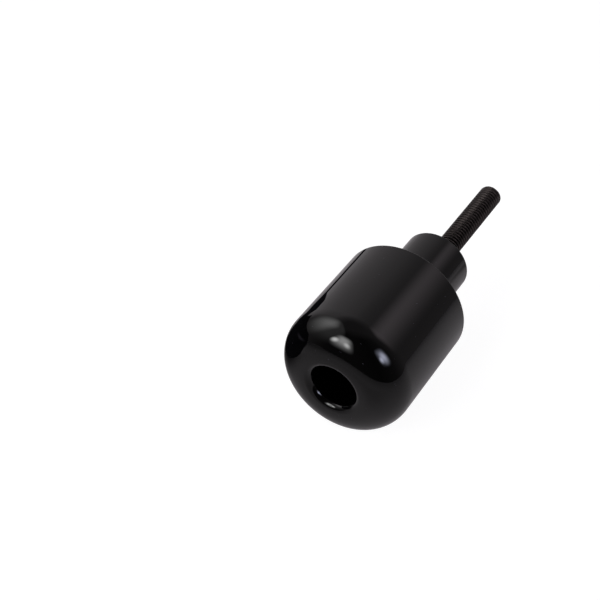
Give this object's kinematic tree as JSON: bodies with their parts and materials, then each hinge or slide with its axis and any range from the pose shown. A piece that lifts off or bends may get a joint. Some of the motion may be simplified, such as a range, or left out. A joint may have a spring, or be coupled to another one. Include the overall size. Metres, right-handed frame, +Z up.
{
  "type": "bar end weight",
  "caption": "Round-nosed turned steel weight with a slim collar, held to the end of a motorcycle handlebar by a long cap screw through its middle.",
  "frame": {"origin": "centre of the collar's end face, where the weight seats on the handlebar and the screw's thread comes out", "axes": "+Y along the common axis from the nose to the screw's tip, into the handlebar; +Z up; the bar's axis is level, as it lies in the picture"},
  "size_m": [0.032, 0.083, 0.032],
  "materials": {
    "gloss_black_paint": "gloss",
    "black_oxide_steel": "satin"
  },
  "bodies": {
    "root": {"weight": "gloss_black_paint", "cap_screw": "black_oxide_steel"}
  },
  "joints": []
}
